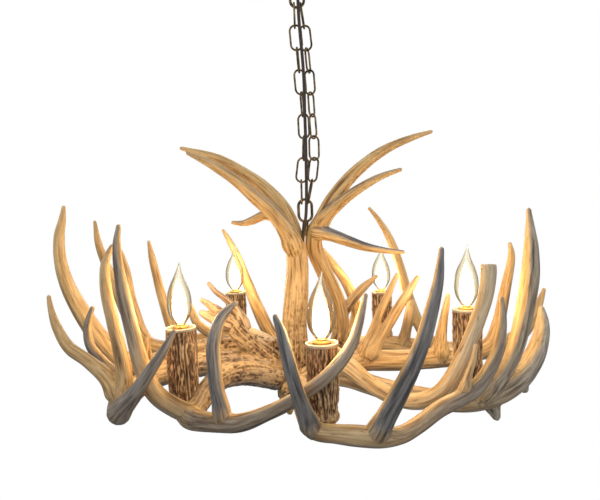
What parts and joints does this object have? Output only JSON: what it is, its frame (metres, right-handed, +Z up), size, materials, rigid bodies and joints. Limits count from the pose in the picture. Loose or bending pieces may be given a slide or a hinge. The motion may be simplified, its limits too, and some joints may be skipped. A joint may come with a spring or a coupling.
{
  "type": "antler chandelier",
  "caption": "Hanging chandelier of interlaced cast antlers: upright candle lights stand on a ring of curved beams and two tall antlers rise to a doubled chain under a ceiling canopy.",
  "frame": {"origin": "centre of the crossbar's two ceiling screws, in the plane of the ceiling", "axes": "+X to the right and +Y away from the viewer as seen from the front light, +Z up"},
  "size_m": [0.8126, 0.5699, 0.7383],
  "materials": {
    "steel": "zinc plated, satin",
    "bronze": "antique bronze, rubbed",
    "black_plastic": "moulded",
    "cord": "dark brown sheath",
    "brass": "polished",
    "screw": "dark bronzed",
    "antler": "cast resin, tan and grey with brown grooves",
    "antler_dark": "cast resin, rough bark-like brown",
    "antler_pale": "sawn pale face",
    "bulb_glass": "clear",
    "filament": "glowing when lit"
  },
  "bodies": {
    "ceiling_fitting": {"crossbar": "steel", "nipple": "steel", "nipple_locknut": "steel", "canopy": "bronze", "cord_bushing": "black_plastic", "canopy_loop": "bronze"},
    "top_ring_link": {"top_link": "bronze"},
    "chain": {"chain_strand_left": "bronze", "chain_strand_right": "bronze", "power_cord": "cord"},
    "fixture": {"hanger_eye": "bronze", "tie_rod": "steel", "base_washer": "steel", "base_finial": "brass", "antler_screws": "screw", "sleeve_screws": "screw", "crown_left_antler": "antler", "crown_right_antler": "antler", "front_left_antler": "antler", "left_antler": "antler", "left_back_antler": "antler", "front_antler": "antler", "right_front_antler": "antler", "right_antler": "antler", "right_back_antler": "antler", "cross_antler": "antler", "back_left_antler": "antler", "back_antler": "antler", "back_right_antler": "antler", "front_sleeve": "antler_dark", "front_cap": "antler_pale", "front_socket": "brass", "left_sleeve": "antler_dark", "left_cap": "antler_pale", "left_socket": "brass", "right_sleeve": "antler_dark", "right_cap": "antler_pale", "right_socket": "brass", "back_left_sleeve": "antler_dark", "back_left_cap": "antler_pale", "back_left_socket": "brass", "back_right_sleeve": "antler_dark", "back_right_cap": "antler_pale", "back_right_socket": "brass"},
    "front_bulb": {"front_bulb_base": "brass", "front_bulb_glass": "bulb_glass", "front_filament": "filament"},
    "left_bulb": {"left_bulb_base": "brass", "left_bulb_glass": "bulb_glass", "left_filament": "filament"},
    "right_bulb": {"right_bulb_base": "brass", "right_bulb_glass": "bulb_glass", "right_filament": "filament"},
    "back_left_bulb": {"back_left_bulb_base": "brass", "back_left_bulb_glass": "bulb_glass", "back_left_filament": "filament"},
    "back_right_bulb": {"back_right_bulb_base": "brass", "back_right_bulb_glass": "bulb_glass", "back_right_filament": "filament"}
  },
  "joints": [
    {"name": "link_swing", "type": "hinge", "parent": "ceiling_fitting", "child": "top_ring_link", "pos_m": [0, 0, -0.0525], "axis": [0, 1, 0], "range_deg": [-15, 15], "deforming": ["power_cord"]},
    {"name": "chain_swing", "type": "hinge", "parent": "top_ring_link", "child": "chain", "pos_m": [0, 0, -0.0829], "axis": [1, 0, 0], "range_deg": [-15, 15], "deforming": ["power_cord"]},
    {"name": "fixture_swing", "type": "hinge", "parent": "chain", "child": "fixture", "pos_m": [0, 0, -0.385], "axis": [1, 0, 0], "range_deg": [-6, 6], "deforming": ["power_cord"]},
    {"name": "front_bulb_lift", "type": "slide", "parent": "fixture", "child": "front_bulb", "axis": [0, 0, 1], "range_m": [0, 0.022]},
    {"name": "left_bulb_lift", "type": "slide", "parent": "fixture", "child": "left_bulb", "axis": [0, 0, 1], "range_m": [0, 0.022]},
    {"name": "right_bulb_lift", "type": "slide", "parent": "fixture", "child": "right_bulb", "axis": [0, 0, 1], "range_m": [0, 0.022]},
    {"name": "back_left_bulb_lift", "type": "slide", "parent": "fixture", "child": "back_left_bulb", "axis": [0, 0, 1], "range_m": [0, 0.022]},
    {"name": "back_right_bulb_lift", "type": "slide", "parent": "fixture", "child": "back_right_bulb", "axis": [0, 0, 1], "range_m": [0, 0.022]}
  ]
}
